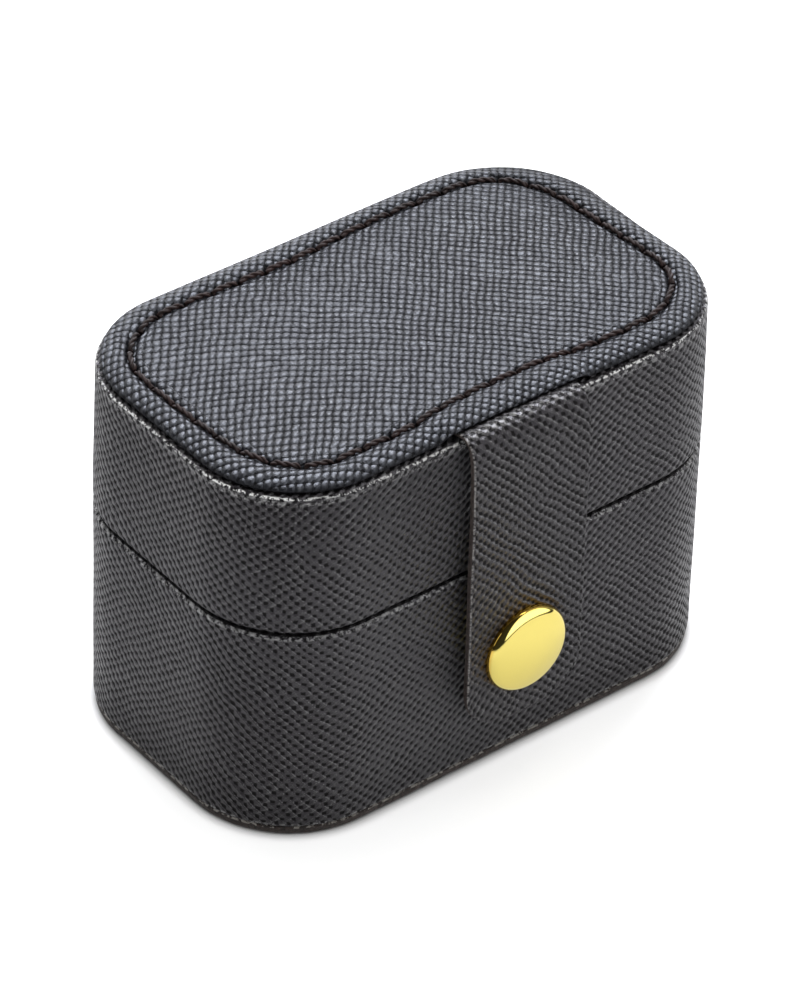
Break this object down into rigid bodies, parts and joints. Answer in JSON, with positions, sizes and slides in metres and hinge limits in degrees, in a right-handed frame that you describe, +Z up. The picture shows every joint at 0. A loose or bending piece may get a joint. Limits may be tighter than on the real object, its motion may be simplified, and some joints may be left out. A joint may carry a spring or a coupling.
{
  "type": "ring box",
  "caption": "Small rounded ring box in cross-grained leather: hinged lid with a sewn panel, a strap with a domed snap, and velvet rolls inside that hold rings.",
  "frame": {"origin": "centre of the face that the box stands on, under the middle of its walls", "axes": "+X along the long side, -Y out of the front with the strap, +Z up"},
  "size_m": [0.072, 0.0494, 0.0514],
  "materials": {
    "wall_leather": "cross-grained, satin",
    "panel_leather": "cross-grained, satin",
    "strap_leather": "cross-grained, satin",
    "sole_leather": "smooth, matt",
    "strap_lining": "fine suede side, light cut edge",
    "thread": "waxed thread",
    "velvet": "short pile velvet",
    "foam": "soft foam",
    "card": "grey card",
    "shell": "moulded",
    "gold_metal": "polished",
    "steel_wire": "satin"
  },
  "bodies": {
    "base": {"sole": "sole_leather", "base_shell": "shell", "base_wrap": "wall_leather", "base_lining": "velvet", "insert_board": "card", "front_roll_foam": "foam", "middle_roll_foam": "foam", "back_roll_foam": "foam", "front_roll_velvet": "velvet", "middle_roll_velvet": "velvet", "back_roll_velvet": "velvet", "snap_stud": "gold_metal", "stud_rivet": "steel_wire", "hinge_leaf_base": "wall_leather"},
    "lid": {"lid_shell": "shell", "lid_wrap": "wall_leather", "lid_lining": "velvet", "ceiling_card": "card", "ceiling_pad": "velvet", "panel_pad": "foam", "panel_cover": "panel_leather", "panel_stitching": "thread", "strap_tab": "strap_leather", "hinge_leaf_lid": "wall_leather"},
    "strap": {"strap_outer": "strap_leather", "strap_backing": "strap_lining", "snap_cap": "gold_metal", "snap_socket": "gold_metal", "snap_spring": "steel_wire"}
  },
  "joints": [
    {"name": "lid_hinge", "type": "hinge", "parent": "base", "child": "lid", "pos_m": [0, 0.02255, 0.03], "axis": [-1, 0, 0], "range_deg": [0, 110]},
    {"name": "strap_hinge", "type": "hinge", "parent": "lid", "child": "strap", "pos_m": [0, -0.02135, 0.05025], "axis": [-1, 0, 0], "range_deg": [0, 120]}
  ]
}
